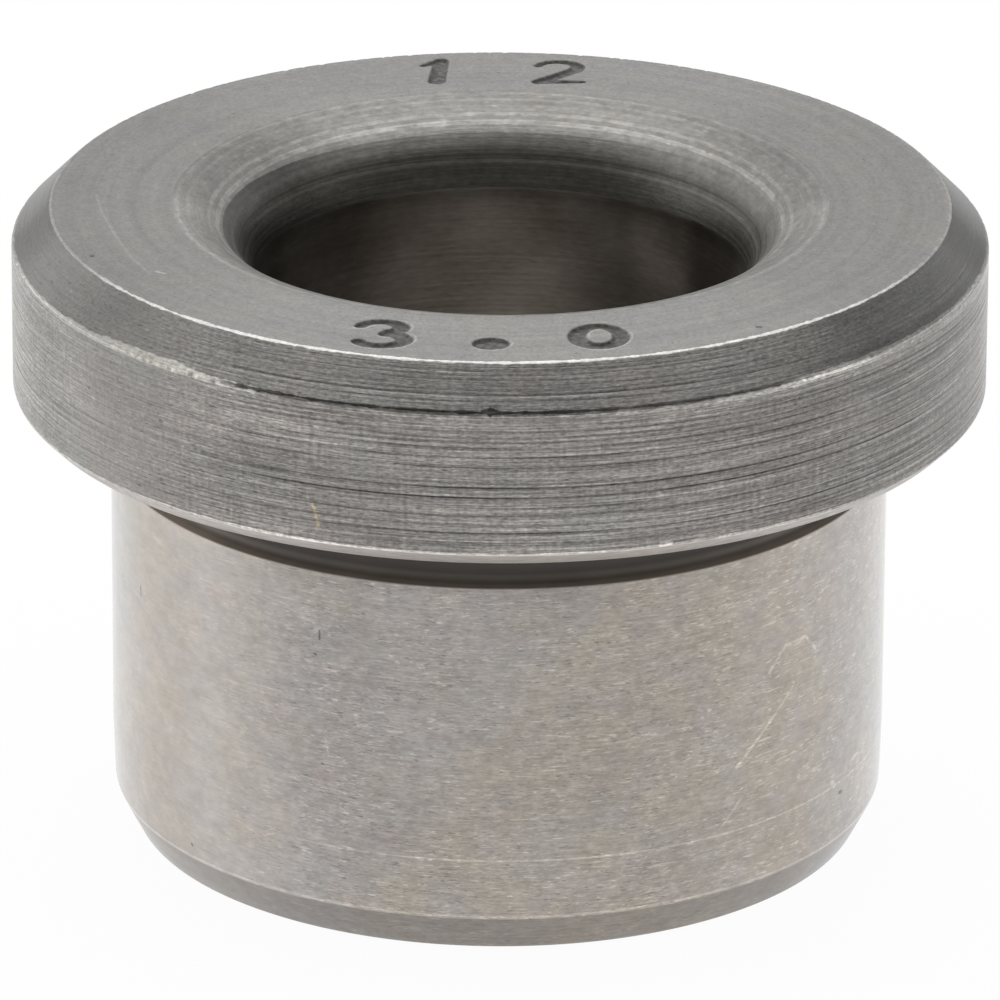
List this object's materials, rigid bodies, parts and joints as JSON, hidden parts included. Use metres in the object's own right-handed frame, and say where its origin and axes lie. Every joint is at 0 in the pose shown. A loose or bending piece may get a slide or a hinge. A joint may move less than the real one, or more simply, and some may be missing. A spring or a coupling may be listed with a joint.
{
  "type": "headed press-fit drill bushing",
  "caption": "Short hardened steel bushing with a wide chamfered head, a rounded lead-in and a straight through bore that guides a twist drill in a jig plate.",
  "frame": {"origin": "centre of the foot, on the bore axis, in the plane that the bushing stands on", "axes": "+Z along the bore axis, from the foot towards the head"},
  "size_m": [0.015, 0.015, 0.01],
  "materials": {
    "hardened_steel": "turned head, ground body, dark heat-treated bore and relief groove"
  },
  "bodies": {
    "root": {"drill_bushing": "hardened_steel"}
  },
  "joints": []
}
